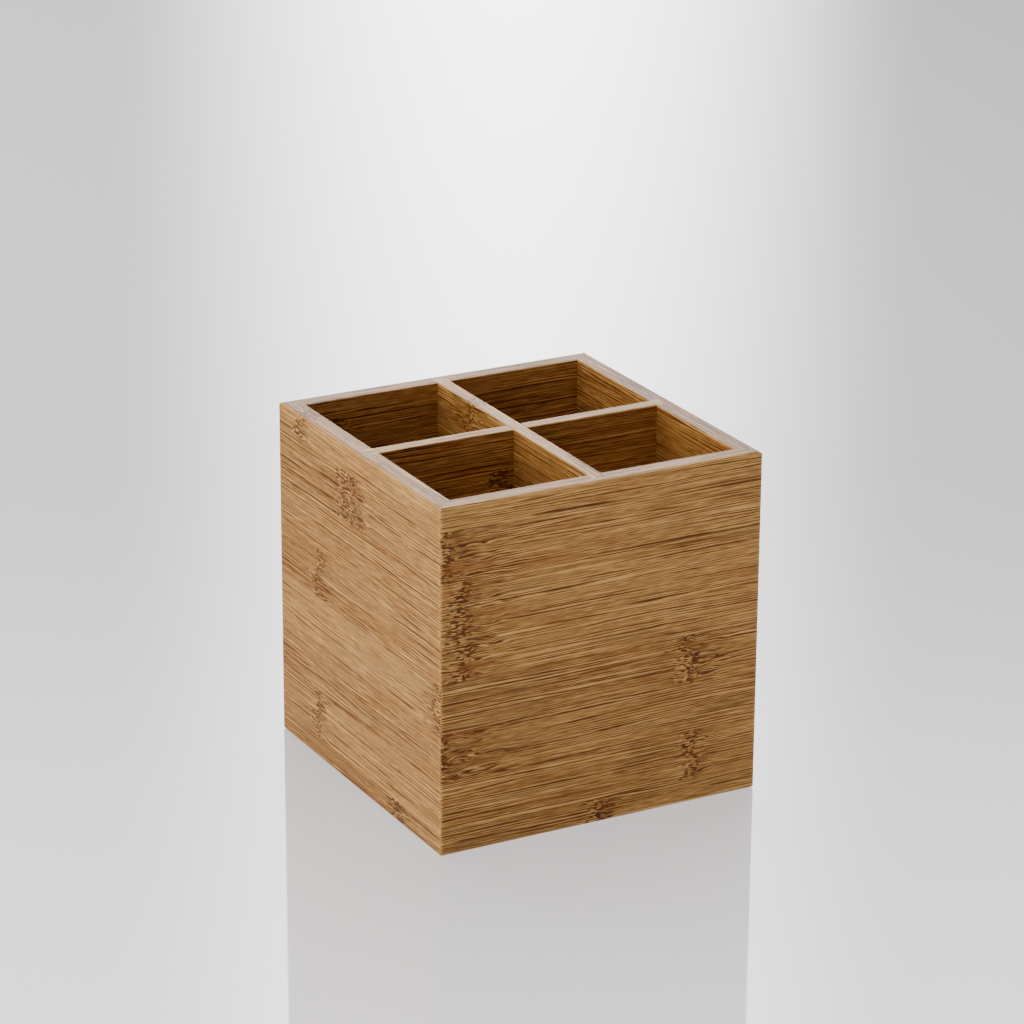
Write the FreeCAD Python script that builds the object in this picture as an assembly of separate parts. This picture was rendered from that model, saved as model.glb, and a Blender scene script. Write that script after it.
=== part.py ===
"""Bamboo cutlery caddy: four mitred walls, a floor panel and two crossed dividers.

Every board is glued up edge to edge from bamboo strips, and each strip is a solid of
its own. Lengths are in millimetres and +Z is up. The origin is the middle of the
footprint, +X runs to the right along the front wall, and the front wall faces -Y.
"""

import os

import FreeCAD
import Part

Vector = FreeCAD.Vector

# Overall size
SIDE = 152.0  # outside width and depth: the footprint is square
HEIGHT = 153.5

# Board thicknesses
WALL = 9.0
DIVIDER = 6.5
FLOOR = 5.0

# Joints between the boards
FLOOR_LIFT = 3.0  # from the walls' bottom edges up to the floor panel
GROOVE_DEPTH = 3.5  # groove in each wall that holds the floor panel
TONGUE = 3.0  # how far the floor panel reaches into that groove
DADO_DEPTH = 4.5  # housing in each wall for a divider's end, open at the rim

# Radii of the sanded edges
RIM_ROUND = 2.0  # outer edge of the rim
BASE_ROUND = 1.5  # outer edge of the base
CORNER_ROUND = 1.0  # upright corners
INNER_ROUND = 0.6  # inner edge of the rim, and the tops of the dividers

# Bamboo strips: every board starts with a trimmed strip, then has whole ones
STRIP = 22.1
TOP_STRIP = {"front": 10.0, "right": 12.4, "back": 8.8, "left": 11.2}
FRONT_BACK_TOP_STRIP = 14.2
LEFT_RIGHT_TOP_STRIP = 17.0
FLOOR_FIRST_STRIP = 11.0

# Each wall is the front wall turned about the caddy's upright centre line
WALL_TURN = {"front": 0, "right": 90, "back": 180, "left": 270}

TOUCHING = 1e-6  # an edge this near a point passes through it

FLOOR_TOP = FLOOR_LIFT + FLOOR
DIVIDER_LENGTH = SIDE - 2 * (WALL - DADO_DEPTH)
DIVIDER_HEIGHT = HEIGHT - FLOOR_TOP


def centred_box(length_x, length_y, bottom, top):
    """A box centred on the Z axis, between two heights."""
    corner = Vector(-length_x / 2, -length_y / 2, bottom)
    return Part.makeBox(length_x, length_y, top - bottom, corner)


def rounded(shape, radius, *points):
    """A copy of a shape whose edges through the given points are rounded."""
    corners = [Part.Vertex(point) for point in points]
    edges = [
        edge
        for edge in shape.Edges
        if any(edge.distToShape(corner)[0] < TOUCHING for corner in corners)
    ]
    return shape.makeFillet(radius, edges)


def rounded_column():
    """An upright column that fits round the caddy, with rounded upright corners."""
    reach = SIDE / 2
    corners = [Vector(x, y, HEIGHT / 2) for x in (-reach, reach) for y in (-reach, reach)]
    return rounded(centred_box(SIDE, SIDE, 0, HEIGHT), CORNER_ROUND, *corners)


def mitre_wedge():
    """The quarter of the footprint that the front wall may fill, cut at 45 degrees."""
    reach = SIDE / 2
    corners = [Vector(-reach, -reach, 0), Vector(reach, -reach, 0), Vector(0, 0, 0)]
    outline = Part.makePolygon(corners + corners[:1])
    return Part.Face(outline).extrude(Vector(0, 0, HEIGHT))


def floor_groove():
    """The room that the four walls' grooves give the floor panel."""
    side = SIDE - 2 * (WALL - GROOVE_DEPTH)
    return centred_box(side, side, FLOOR_LIFT, FLOOR_TOP)


def divider_housing():
    """The room that the front and back walls' dadoes give a divider."""
    return centred_box(DIVIDER, DIVIDER_LENGTH, FLOOR_TOP, HEIGHT)


def front_wall():
    """The front wall as one board, with mitred ends, its groove and its dado."""
    outer = -SIDE / 2
    inner = outer + WALL
    board = Part.makeBox(SIDE, WALL, HEIGHT, Vector(-SIDE / 2, outer, 0))
    board = rounded(board, RIM_ROUND, Vector(0, outer, HEIGHT))
    board = rounded(board, BASE_ROUND, Vector(0, outer, 0))
    board = rounded(board, INNER_ROUND, Vector(0, inner, HEIGHT))
    board = board.common(mitre_wedge()).common(rounded_column())
    return board.cut(floor_groove()).cut(divider_housing())


def plain_divider():
    """A divider that runs front to back, with no slot yet.

    Its top edges are softened between the walls. Its ends stay square, so that they
    fill the dadoes flush with the rim.
    """
    top_edges = [Vector(x, 0, HEIGHT) for x in (-DIVIDER / 2, DIVIDER / 2)]
    clear_span = centred_box(DIVIDER, SIDE - 2 * WALL, FLOOR_TOP, HEIGHT)
    ends = divider_housing().cut(clear_span)
    return rounded(clear_span, INNER_ROUND, *top_edges).fuse(ends).removeSplitter()


def front_back_divider():
    """The divider that passes over the other: its slot opens downwards."""
    middle = FLOOR_TOP + DIVIDER_HEIGHT / 2
    slot = centred_box(DIVIDER, DIVIDER, FLOOR_TOP, middle)
    return plain_divider().cut(slot)


def left_right_divider():
    """The divider that passes under the other: its slot opens upwards."""
    middle = FLOOR_TOP + DIVIDER_HEIGHT / 2
    slot = centred_box(DIVIDER, DIVIDER, middle, HEIGHT)
    return turned(plain_divider(), 90).cut(slot)


def turned(shape, degrees):
    """A copy of a shape turned about the Z axis."""
    copy = shape.copy()
    copy.rotate(Vector(0, 0, 0), Vector(0, 0, 1), degrees)
    return copy


def strip_joints(first, total):
    """Where the strips of a board begin and end, measured across the board."""
    joints = [0.0]
    joint = first
    while joint < total:
        joints.append(joint)
        joint += STRIP
    joints.append(total)
    return list(zip(joints, joints[1:]))


def upright_strips(board, first, height):
    """Cut an upright board into strips, from the rim down."""
    for upper, lower in strip_joints(first, height):
        slab = centred_box(SIDE, SIDE, HEIGHT - lower, HEIGHT - upper)
        yield board.common(slab)


def floor_strips():
    """Cut the floor panel into strips that run left to right, from front to back."""
    side = SIDE - 2 * WALL + 2 * TONGUE
    for near, far in strip_joints(FLOOR_FIRST_STRIP, side):
        corner = Vector(-side / 2, -side / 2 + near, FLOOR_LIFT)
        yield Part.makeBox(side, far - near, FLOOR, corner)


def write(node, shape):
    """Write a node's single solid to its own STEP file."""
    solids = shape.Solids
    if len(solids) != 1 or not shape.isValid():
        raise ValueError(f"{node} is not one valid solid")
    solids[0].exportStep(f"parts/{node}.step")


def write_divider(name, board, first, end_names):
    """Write a divider's strips. The slot parts some of them into two pieces."""
    for number, strip in enumerate(upright_strips(board, first, DIVIDER_HEIGHT), 1):
        pieces = sorted(strip.Solids, key=lambda piece: piece.CenterOfMass.x + piece.CenterOfMass.y)
        if len(pieces) == 1:
            write(f"{name}_strip_{number}", pieces[0])
            continue
        for piece, end_name in zip(pieces, end_names):
            write(f"{name}_strip_{number}_{end_name}", piece)


def main():
    os.makedirs("parts", exist_ok=True)
    for side, turn in WALL_TURN.items():
        board = turned(front_wall(), turn)
        for number, strip in enumerate(upright_strips(board, TOP_STRIP[side], HEIGHT), 1):
            write(f"{side}_wall_strip_{number}", strip)
    for number, strip in enumerate(floor_strips(), 1):
        write(f"floor_strip_{number}", strip)
    write_divider(
        "front_back_divider", front_back_divider(), FRONT_BACK_TOP_STRIP, ("front", "back")
    )
    write_divider(
        "left_right_divider", left_right_divider(), LEFT_RIGHT_TOP_STRIP, ("left", "right")
    )


main()
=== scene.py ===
"""Looks of the bamboo cutlery caddy: its materials, a plain studio and the camera."""

import math
import random
from dataclasses import dataclass

import bpy
from mathutils import Matrix, Vector


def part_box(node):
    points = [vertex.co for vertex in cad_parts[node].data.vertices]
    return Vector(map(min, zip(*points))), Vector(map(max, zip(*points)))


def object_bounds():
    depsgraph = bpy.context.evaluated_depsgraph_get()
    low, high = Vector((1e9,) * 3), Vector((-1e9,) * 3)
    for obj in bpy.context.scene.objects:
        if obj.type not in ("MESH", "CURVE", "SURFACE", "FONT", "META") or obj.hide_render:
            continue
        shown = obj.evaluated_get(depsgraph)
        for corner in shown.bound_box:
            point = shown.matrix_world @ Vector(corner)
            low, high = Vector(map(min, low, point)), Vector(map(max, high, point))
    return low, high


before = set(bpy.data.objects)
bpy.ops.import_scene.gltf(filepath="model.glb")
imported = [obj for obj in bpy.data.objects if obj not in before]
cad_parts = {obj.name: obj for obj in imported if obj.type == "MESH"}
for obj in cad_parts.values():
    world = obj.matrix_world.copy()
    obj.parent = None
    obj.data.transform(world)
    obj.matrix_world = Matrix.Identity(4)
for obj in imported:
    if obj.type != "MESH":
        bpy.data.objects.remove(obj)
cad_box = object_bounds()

MM = 0.001

# Sizes read from model.glb, in millimetres
LOW, HIGH = cad_box
HALF_SIDE = HIGH.x / MM
RIM = HIGH.z / MM
WALL_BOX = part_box("front_wall_strip_4")
WALL = (WALL_BOX[1][1] - WALL_BOX[0][1]) / MM
DIVIDER_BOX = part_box("front_back_divider_strip_2")
DIVIDER = (DIVIDER_BOX[1][0] - DIVIDER_BOX[0][0]) / MM

# Bamboo colours, linear, from the palest wood to the darkest fibre
PALE = (0.660, 0.372, 0.126, 1)
HONEY = (0.400, 0.202, 0.060, 1)
BROWN = (0.215, 0.092, 0.024, 1)
DARK = (0.095, 0.030, 0.007, 1)

# Tints of its patches, linear
REDDISH = (0.270, 0.092, 0.020, 1)
GREENISH = (0.270, 0.150, 0.050, 1)

# The wood's details, in millimetres
FIBRE_PITCH = 1.15  # from one fine fibre to the next
NO_KNUCKLE = 1000.0  # a place along the grain that no strip reaches
OUTER_WEAR_AND_HIGHLIGHT = 2.2  # how far from an outer edge the wear and the painted highlight reach
INNER_WEAR_AND_HIGHLIGHT = 1.0  # and from an inner edge of the rim or a divider's top
SEAM_REACH = 0.22  # how far the dark of a glue line reaches
BUMP_DISTANCE = 0.08

SEED_REACH = 900  # how far a strip's noise can be shifted along each axis
LAYER_STEP = (7.3, 3.1, 5.7)  # from one layer of noise to the next, in cells

PLAIN_DARKNESS = 0.31  # before the details are added, where 0 is palest and 1 darkest
SPECULAR_LEVEL = 0.11
KNUCKLE_SHARE = 0.55  # of the strips whose pattern isn't known

# The camera, in degrees and metres. Its azimuth is from the front, towards the right, and
# it stands aside and above in its own picture plane.
AZIMUTH = -28.46
ELEVATION = 20.38
ROLL = 0.33
DISTANCE = 1.746
ASIDE = -0.0016
ABOVE = 0.0362
LENS = 142.2  # in millimetres, on a sensor 36 mm wide

KEY_COLOR = (1.0, 0.93, 0.74)  # linear


@dataclass
class Strip:
    """How one strip looks.

    tone runs from -1, dark, to 1, pale. knuckle is where the culm's joint crosses the
    strip, in millimetres along the grain from the board's middle. spread is how far its
    broken fibres reach, most of all towards the lower end of the grain, or the upper if
    side is -1. ripple is how far the fibres are wavy towards the other end.
    """

    tone: float = 0.0
    knuckle: float = NO_KNUCKLE
    spread: float = 8.0
    ripple: float = 25.0
    side: int = 1


FRONT_STRIPS = [
    Strip(0.90),
    Strip(-0.15, knuckle=-74, spread=6, ripple=45),
    Strip(0.10, knuckle=-66, spread=9, ripple=30),
    Strip(0.05, knuckle=-66, spread=9, ripple=30),
    Strip(-0.05, knuckle=42, spread=8, ripple=34),
    Strip(-0.35, knuckle=-75, spread=6, ripple=60),
    Strip(0.30, knuckle=45, spread=6, ripple=16),
    Strip(-0.10, knuckle=-1, spread=9, ripple=14),
]
LEFT_STRIPS = [
    Strip(0.30, knuckle=56, spread=7, ripple=14, side=-1),
    Strip(-0.15, knuckle=5, spread=19, ripple=24, side=-1),
    Strip(0.45),
    Strip(-0.25, knuckle=37, spread=8, ripple=18, side=-1),
    Strip(0.30, knuckle=-74, spread=6, ripple=20),
    Strip(0.10),
    Strip(0.15, knuckle=40, spread=6, ripple=14, side=-1),
    Strip(-0.60, knuckle=-36, spread=11, ripple=16, side=-1),
]


class Graph:
    """Builds a node tree. Each call adds nodes and returns an output socket."""

    def __init__(self, tree):
        self.tree = tree

    def add(self, kind, inputs, output=0, **settings):
        node = self.tree.nodes.new(kind)
        for name, value in settings.items():
            setattr(node, name, value)
        for key, value in inputs.items():
            if isinstance(value, bpy.types.NodeSocket):
                self.tree.links.new(value, node.inputs[key])
            else:
                node.inputs[key].default_value = value
        return node.outputs[output]

    def math(self, operation, *values):
        return self.add("ShaderNodeMath", dict(enumerate(values)), operation=operation)

    def vector(self, operation, *values):
        return self.add("ShaderNodeVectorMath", dict(enumerate(values)), operation=operation)

    def smooth(self, value, zero_at, one_at):
        """0 beyond zero_at and 1 beyond one_at, with a smooth step between."""
        inputs = {"Value": value, "From Min": zero_at, "From Max": one_at}
        return self.add("ShaderNodeMapRange", inputs, interpolation_type="SMOOTHSTEP")

    def between(self, value, low, high):
        """A value from 0 to 1 spread linearly between two numbers."""
        return self.add("ShaderNodeMapRange", {"Value": value, "To Min": low, "To Max": high})

    def blend(self, factor, first, second):
        inputs = {0: factor, 6: first, 7: second}
        return self.add("ShaderNodeMix", inputs, output=2, data_type="RGBA")

    def noise(self, point, along, across, detail=2.0, roughness=0.5, layer=0):
        """Noise whose cells are so many millimetres long along the grain and across it."""
        scale = (1 / along, 1 / across, 1 / across)
        offset = tuple(layer * step for step in LAYER_STEP)
        place = self.vector("MULTIPLY_ADD", point, scale, offset)
        inputs = {"Vector": place, "Scale": 1.0, "Detail": detail, "Roughness": roughness}
        return self.add("ShaderNodeTexNoise", inputs)

    def total(self, *values):
        """The sum of several values."""
        result = values[0]
        for value in values[1:]:
            result = self.math("ADD", result, value)
        return result

    def product(self, *values):
        result = values[0]
        for value in values[1:]:
            result = self.math("MULTIPLY", result, value)
        return result


def new_group(name, inputs, outputs):
    """A node group with float and vector sockets, its graph, and its input sockets."""
    group = bpy.data.node_groups.new(name, "ShaderNodeTree")
    for socket, kind in inputs.items():
        group.interface.new_socket(socket, in_out="INPUT", socket_type=kind)
    for socket, kind in outputs.items():
        group.interface.new_socket(socket, in_out="OUTPUT", socket_type=kind)
    start = group.nodes.new("NodeGroupInput")
    return group, Graph(group), start.outputs


def finish_group(group, results):
    end = group.nodes.new("NodeGroupOutput")
    for socket, value in results.items():
        group.links.new(value, end.inputs[socket])


def knuckle_group():
    """Where a strip's knuckle is and how it disturbs the fibres around it.

    Core is the ragged chain of curls at the joint itself, Cluster the broken fibres on
    one side of it, and Ripple the wavy fibres that calm down on the other. Shade is the
    whole cluster side, whose wood is a little darker.
    """
    value, vector = "NodeSocketFloat", "NodeSocketVector"
    group, graph, given = new_group(
        "knuckle",
        {"Point": vector, "Knuckle": value, "Spread": value, "Ripple": value, "Side": value},
        {"Core": value, "Cluster": value, "Ripple": value, "Shade": value},
    )
    point = given["Point"]
    along = graph.add("ShaderNodeSeparateXYZ", {0: point})
    sway = graph.between(graph.noise(point, 60, 6.0, detail=1, layer=1), -7, 7)
    shiver = graph.between(graph.noise(point, 60, 1.1, detail=1, layer=2), -3.5, 3.5)
    away = graph.total(along, graph.math("MULTIPLY", given["Knuckle"], -1.0), sway, shiver)
    away = graph.math("MULTIPLY", away, given["Side"])
    nearest = graph.math("DIVIDE", graph.math("ABSOLUTE", away), given["Spread"])
    core = graph.smooth(nearest, 0.60, 0.25)
    fray = graph.noise(point, 9, 1.6, detail=1, layer=15)
    ragged = graph.total(away, graph.between(fray, -11, 11))
    thinning = graph.math("DIVIDE", ragged, given["Spread"])
    cluster = graph.product(graph.smooth(thinning, -1.3, -0.1), graph.smooth(ragged, 3.0, -3.0))
    calming = graph.math("DIVIDE", ragged, given["Ripple"])
    ripple = graph.product(graph.smooth(calming, 1.0, 0.0), graph.smooth(away, -1.0, 1.0))
    shade = graph.smooth(ragged, 15.0, -15.0)
    finish_group(group, {"Core": core, "Cluster": cluster, "Ripple": ripple, "Shade": shade})
    return group


def bamboo_group(knuckle):
    """The wood itself: colour, roughness and height at a point in millimetres, whose
    first coordinate runs along the grain."""
    value, vector = "NodeSocketFloat", "NodeSocketVector"
    group, graph, given = new_group(
        "bamboo",
        {
            "Point": vector,
            "Seed": vector,
            "Tone": value,
            "Knuckle": value,
            "Spread": value,
            "Ripple": value,
            "Side": value,
            "Wear and highlight": value,
            "Seam": value,
        },
        {"Color": "NodeSocketColor", "Roughness": value, "Height": value},
    )
    joint = group.nodes.new("ShaderNodeGroup")
    joint.node_tree = knuckle
    point = graph.vector("ADD", given["Point"], given["Seed"])
    group.links.new(given["Point"], joint.inputs["Point"])
    for name in ("Knuckle", "Spread", "Ripple", "Side"):
        group.links.new(given[name], joint.inputs[name])
    core, cluster, ripple, shade = joint.outputs
    broken = graph.math("MAXIMUM", core, cluster)

    # The fibres run straight but for a slow wander, wave beside the knuckle, curl at it
    wander = graph.between(graph.noise(point, 120, 30, detail=1, layer=3), -0.4, 0.4)
    wave = graph.between(graph.noise(point, 13, 3.0, detail=1, layer=4), -1.3, 1.3)
    curl = graph.between(graph.noise(point, 3.2, 2.0, detail=0, layer=13), -0.40, 0.40)
    stir = graph.total(
        wander,
        graph.product(wave, graph.math("MAXIMUM", ripple, graph.product(cluster, 0.5))),
        graph.product(curl, broken),
    )
    shift = graph.add("ShaderNodeCombineXYZ", {1: stir, 2: stir})
    fibre = graph.vector("ADD", point, shift)

    # Coarse dark fibres, fine rows both dark and pale that come and go, and the ground
    bands = graph.noise(point, 160, 5.0, detail=2, layer=5)
    fading = graph.smooth(graph.noise(point, 50, 1.6, detail=1, layer=14), 0.36, 0.66)
    coarse = graph.smooth(graph.noise(fibre, 260, 0.60, detail=0, layer=6), 0.57, 0.68)
    coarse = graph.product(coarse, fading)
    crowding = graph.between(graph.noise(point, 90, 2.4, detail=1, layer=8), -10, 10)
    across = graph.add("ShaderNodeSeparateXYZ", {0: fibre}).node.outputs
    turns = graph.product(graph.total(across["Y"], across["Z"]), math.tau / FIBRE_PITCH)
    rows = graph.math("SINE", graph.total(turns, crowding))
    weight = graph.smooth(graph.noise(fibre, 60, 1.3, detail=1, layer=16), 0.28, 0.66)
    threads = graph.product(rows, weight)
    fine = graph.smooth(threads, 0.1, 1.0)
    gleams = graph.smooth(threads, -0.1, -1.0)
    ground = graph.noise(fibre, 7.0, 0.42, detail=1, layer=7)

    # Broken fibres: curls at the knuckle and on its broken side, and ticks in the ripple
    scraps = graph.noise(fibre, 2.3, 0.85, detail=0, layer=9)
    scraps = graph.total(scraps, graph.product(rows, 0.12))
    curls = graph.smooth(scraps, 0.52, 0.61)
    ticks = graph.smooth(graph.noise(fibre, 7.0, 0.6, detail=0, layer=10), 0.55, 0.66)
    marks = graph.total(
        graph.product(curls, core, 0.95),
        graph.product(curls, cluster, 0.58),
        graph.product(ticks, ripple, 0.30),
        graph.product(core, 0.12),
    )
    # Pale specks between the curls: painted highlights on the raised fibres
    painted_glints = graph.product(graph.smooth(scraps, 0.47, 0.36), broken, 0.26)

    calm = graph.math("SUBTRACT", 1.0, graph.product(broken, 0.6))
    darkness = graph.total(
        PLAIN_DARKNESS,
        graph.product(given["Tone"], -0.16),
        graph.between(bands, -0.10, 0.10),
        graph.product(coarse, calm, 0.35),
        graph.product(fine, calm, 0.68),
        graph.product(gleams, calm, -0.50),
        graph.between(ground, -0.58, 0.58),
        graph.product(ripple, 0.14),
        graph.product(shade, 0.12),
        marks,
        graph.product(painted_glints, -1.0),
        # Paler near the edges: partly wear, partly a painted highlight where the rounded edges
        # catch the light
        graph.product(given["Wear and highlight"], -0.22),
        graph.product(given["Seam"], 0.30),
    )
    ramp = group.nodes.new("ShaderNodeValToRGB")
    group.links.new(darkness, ramp.inputs[0])
    stops = ramp.color_ramp.elements
    stops[0].position, stops[0].color = 0.0, PALE
    stops[1].position, stops[1].color = 1.0, DARK
    for position, color in ((0.35, HONEY), (0.70, BROWN)):
        stops.new(position).color = color

    # Patches of redder and greener wood, redder still in the ripple
    blush = graph.noise(point, 55, 6.5, detail=2, layer=11)
    reddened = graph.blend(graph.smooth(blush, 0.48, 0.72), ramp.outputs[0], REDDISH)
    red = graph.blend(graph.between(ripple, 0.28, 0.50), ramp.outputs[0], reddened)
    greened = graph.blend(graph.smooth(blush, 0.50, 0.28), red, GREENISH)
    color = graph.blend(0.34, red, greened)

    # Lacquer whose gloss changes over the board, and fibres that lie a little lower
    lacquer = graph.between(graph.noise(point, 22, 9, detail=3, layer=12), 0.40, 0.56)
    roughness = graph.total(
        lacquer,
        graph.product(coarse, 0.08),
        graph.product(given["Wear and highlight"], -0.06),
    )
    height = graph.total(
        graph.product(coarse, -0.6),
        graph.product(fine, -0.3),
        graph.product(ground, -0.4),
        graph.product(marks, -0.9),
        graph.product(given["Seam"], -0.8),
    )
    finish_group(group, {"Color": color, "Roughness": roughness, "Height": height})
    return group


def nearness(graph, distance, reach):
    """1 at no distance, falling smoothly to 0 at reach, in millimetres."""
    return graph.smooth(distance, reach, 0.0)


def wall_wear_and_highlight(graph, x, y, z):
    """How near a point is to the caddy's outer edges and the rim's inner edge, which are paler
    with wear and a painted highlight.
    """
    from_side_x = graph.math("SUBTRACT", HALF_SIDE, graph.math("ABSOLUTE", x))
    from_side_y = graph.math("SUBTRACT", HALF_SIDE, graph.math("ABSOLUTE", y))
    from_end = graph.math("MINIMUM", z, graph.math("SUBTRACT", RIM, z))
    nearer = graph.math("MINIMUM", from_side_x, from_side_y)
    farther = graph.math("MAXIMUM", from_side_x, from_side_y)
    edge = graph.math("MAXIMUM", nearer, graph.math("MINIMUM", farther, from_end))
    inner = graph.math("ABSOLUTE", graph.math("SUBTRACT", nearer, WALL))
    rim_edge = graph.math("MAXIMUM", inner, from_end)
    outer_wear_and_highlight = nearness(graph, edge, OUTER_WEAR_AND_HIGHLIGHT)
    inner_wear_and_highlight = nearness(graph, rim_edge, INNER_WEAR_AND_HIGHLIGHT)
    return graph.math("MAXIMUM", outer_wear_and_highlight, inner_wear_and_highlight)


def divider_wear_and_highlight(graph, across, z):
    """How near a point is to the top edges of a divider, which are paler with wear and a painted
    highlight.
    """
    from_face = graph.math("SUBTRACT", DIVIDER / 2, graph.math("ABSOLUTE", across))
    from_top = graph.math("SUBTRACT", RIM, z)
    return nearness(graph, graph.math("MAXIMUM", from_face, from_top), INNER_WEAR_AND_HIGHLIGHT)


def wear_highlight_and_joint(graph, node, along_y, x, y, z):
    """The wear and painted highlight at a point of a strip, and how far it is from an edge that
    glue darkens.

    On a wall that is the lower or the upper edge, on a divider the lower one, and on the
    floor panel the one towards the front.
    """
    low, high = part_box(node)
    if "wall" in node:
        wear_and_highlight = wall_wear_and_highlight(graph, x, y, z)
        from_bottom = graph.math("SUBTRACT", z, low[2] / MM)
        from_top = graph.math("SUBTRACT", high[2] / MM, z)
        return wear_and_highlight, graph.math("MINIMUM", from_bottom, from_top)
    if "divider" in node:
        wear_and_highlight = divider_wear_and_highlight(graph, x if along_y else y, z)
        return wear_and_highlight, graph.math("SUBTRACT", z, low[2] / MM)
    return 0.0, graph.math("SUBTRACT", y, low[1] / MM)


def wood_node(tree, group, given):
    """The bamboo group in a material, with each of its inputs linked or set."""
    wood = tree.nodes.new("ShaderNodeGroup")
    wood.node_tree = group
    for name, value in given.items():
        if isinstance(value, bpy.types.NodeSocket):
            tree.links.new(value, wood.inputs[name])
        else:
            wood.inputs[name].default_value = value
    return wood


def strip_material(node, strip, group, along_y, seed):
    """The lacquered bamboo of one strip, in the strip's own tone and with its knuckle."""
    material = bpy.data.materials.new(f"bamboo_{node}")
    material.use_nodes = True
    tree = material.node_tree
    graph = Graph(tree)
    shader = tree.nodes["Principled BSDF"]
    place = graph.add("ShaderNodeTexCoord", {}, output="Object")
    point = graph.vector("SCALE", place)
    point.node.inputs["Scale"].default_value = 1 / MM
    x, y, z = graph.add("ShaderNodeSeparateXYZ", {0: point}).node.outputs
    if along_y:
        point = graph.add("ShaderNodeCombineXYZ", {0: y, 1: x, 2: z})
    wear_and_highlight, from_joint = wear_highlight_and_joint(graph, node, along_y, x, y, z)
    given = {
        "Point": point,
        "Wear and highlight": wear_and_highlight,
        "Seam": nearness(graph, from_joint, SEAM_REACH),
        "Tone": strip.tone,
        "Knuckle": strip.knuckle,
        "Spread": strip.spread,
        "Ripple": strip.ripple,
        "Side": strip.side,
        "Seed": seed,
    }
    wood = wood_node(tree, group, given)
    bump = graph.add("ShaderNodeBump", {"Height": wood.outputs["Height"], "Strength": 0.6})
    bump.node.inputs["Distance"].default_value = BUMP_DISTANCE * MM
    tree.links.new(wood.outputs["Color"], shader.inputs["Base Color"])
    tree.links.new(wood.outputs["Roughness"], shader.inputs["Roughness"])
    tree.links.new(bump, shader.inputs["Normal"])
    shader.inputs["Specular IOR Level"].default_value = SPECULAR_LEVEL
    return material


def random_strip(draw):
    """A strip of a board whose pattern isn't known: about half have a knuckle."""
    strip = Strip(tone=draw.uniform(-0.5, 0.45))
    if draw.random() < KNUCKLE_SHARE:
        strip.knuckle = draw.uniform(-68, 68)
        strip.spread = draw.uniform(5, 16)
        strip.ripple = draw.uniform(14, 50)
        strip.side = draw.choice((-1, 1))
    return strip


def strip_number(node):
    return int(node.split("strip_")[1].split("_")[0])


def dress_caddy():
    """Give every strip its own bamboo."""
    draw = random.Random(23)
    group = bamboo_group(knuckle_group())
    known = {"front_wall": FRONT_STRIPS, "left_wall": LEFT_STRIPS}
    strips = {}
    for node in sorted(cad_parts):
        board, number = node.split("_strip_")[0], strip_number(node)
        if (board, number) not in strips:
            # Every strip draws, so that the known ones leave the others as they are
            drawn = random_strip(draw)
            strip = known[board][number - 1] if board in known else drawn
            seed = tuple(draw.uniform(-SEED_REACH, SEED_REACH) for _ in range(3))
            strips[board, number] = strip, seed
        strip, seed = strips[board, number]
        along_y = board in ("left_wall", "right_wall", "front_back_divider")
        material = strip_material(node, strip, group, along_y, seed)
        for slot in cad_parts[node].material_slots:
            slot.link = "OBJECT"
            slot.material = material


def plain_material(name, color, roughness):
    material = bpy.data.materials.new(name)
    material.use_nodes = True
    shader = material.node_tree.nodes["Principled BSDF"]
    shader.inputs["Base Color"].default_value = (*color, 1)
    shader.inputs["Roughness"].default_value = roughness
    return material


def away_from_camera():
    """The level direction the camera looks in."""
    azimuth = math.radians(AZIMUTH)
    return Vector((-math.sin(azimuth), math.cos(azimuth), 0))


def floor():
    """A polished light table, wide enough to fill the view and brighter near the camera."""
    bpy.ops.mesh.primitive_circle_add(vertices=96, radius=9.0, fill_type="NGON")
    disc = bpy.context.object
    disc.name = "studio_floor"
    material = plain_material("studio_floor", (0.25, 0.245, 0.245), 0.04)
    graph = Graph(material.node_tree)
    shader = material.node_tree.nodes["Principled BSDF"]
    place = graph.add("ShaderNodeTexCoord", {}, output="Object")
    depth = graph.vector("DOT_PRODUCT", place, away_from_camera()).node.outputs["Value"]
    inputs = {"Value": depth, "From Min": -0.4, "From Max": 0.4, "To Min": 1.04, "To Max": 0.28}
    strength = graph.add("ShaderNodeMapRange", inputs, interpolation_type="SMOOTHSTEP")
    material.node_tree.links.new(strength, shader.inputs["Emission Strength"])
    shader.inputs["Emission Color"].default_value = (1.0, 0.98, 0.98, 1)
    disc.data.materials.append(material)


def glow(graph, direction, toward, half_angle, strength):
    """Light from a soft round patch of the surroundings, brightest in the middle."""
    facing = graph.vector("DOT_PRODUCT", direction, Vector(toward).normalized())
    facing = facing.node.outputs["Value"]
    edge = math.cos(math.radians(half_angle))
    return graph.product(graph.smooth(facing, edge, 1.0), strength)


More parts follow.
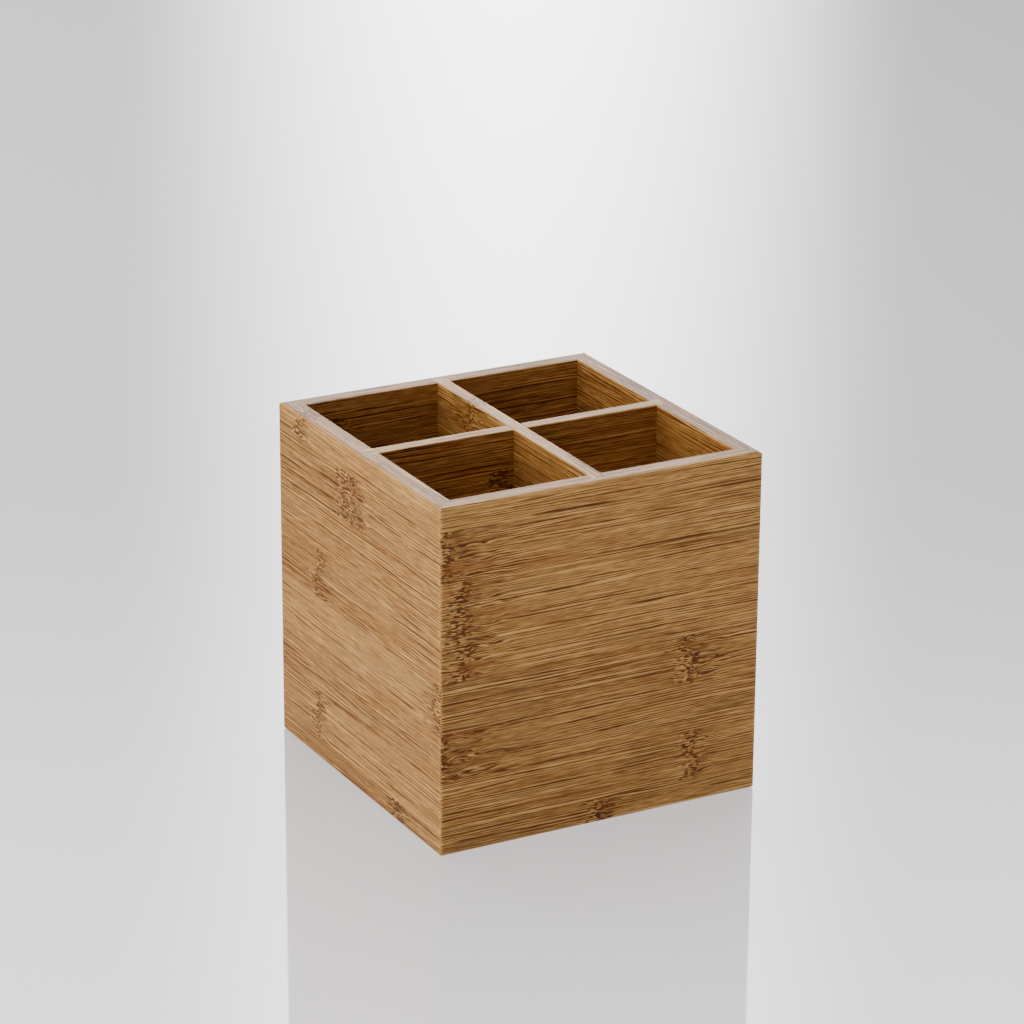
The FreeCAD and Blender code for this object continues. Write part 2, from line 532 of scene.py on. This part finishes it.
def backdrop(graph, direction, half_width, strength):
    """Light from a tall soft strip of the surroundings, straight behind the caddy."""
    behind = away_from_camera()
    facing = graph.vector("DOT_PRODUCT", direction, behind).node.outputs["Value"]
    aside = graph.vector("DOT_PRODUCT", direction, behind.cross((0, 0, 1))).node.outputs["Value"]
    edge = math.sin(math.radians(half_width))
    width = graph.smooth(graph.math("ABSOLUTE", aside), edge, 0.0)
    return graph.product(width, graph.smooth(facing, 0.0, 0.3), strength)


def studio():
    """A dim studio: soft light and a bright strip behind, faint fill above, key on the left."""
    world = bpy.data.worlds.new("studio")
    world.use_nodes = True
    graph = Graph(world.node_tree)
    background = world.node_tree.nodes["Background"]
    direction = graph.add("ShaderNodeTexCoord", {}, output="Generated")
    white = graph.total(
        0.08,
        glow(graph, direction, toward=(0.2, 0.8, 0.9), half_angle=45, strength=5.2),
        glow(graph, direction, toward=(0.0, -0.4, 0.9), half_angle=50, strength=0.4),
        backdrop(graph, direction, half_width=5.8, strength=15.5),
    )
    key = glow(graph, direction, toward=(-1.0, 0.0, 0.0), half_angle=48, strength=4.8)
    light = graph.vector("MULTIPLY_ADD", key, KEY_COLOR, white)
    world.node_tree.links.new(light, background.inputs["Color"])
    bpy.context.scene.world = world


def camera():
    """A long lens at the photograph's angle, with the caddy below the picture's centre."""
    azimuth = math.radians(AZIMUTH)
    elevation = math.radians(ELEVATION)
    back = Vector(
        (
            math.sin(azimuth) * math.cos(elevation),
            -math.cos(azimuth) * math.cos(elevation),
            math.sin(elevation),
        )
    )
    level_right = (-back).cross(Vector((0, 0, 1))).normalized()
    turn = Matrix.Rotation(math.radians(ROLL), 3, back)
    right = turn @ level_right
    up = turn @ level_right.cross(-back)
    data = bpy.data.cameras.new("camera")
    data.lens = LENS
    data.sensor_width = 36.0
    data.clip_start, data.clip_end = 0.05, 50.0
    eye = bpy.data.objects.new("camera", data)
    middle = Vector((0, 0, 0.5 * (HIGH.x - LOW.x)))
    place = middle + back * DISTANCE + right * ASIDE + up * ABOVE
    axes = Matrix((right, up, back)).transposed().to_4x4()
    eye.matrix_world = Matrix.Translation(place) @ axes
    bpy.context.collection.objects.link(eye)
    bpy.context.scene.camera = eye


dress_caddy()
floor()
studio()
camera()
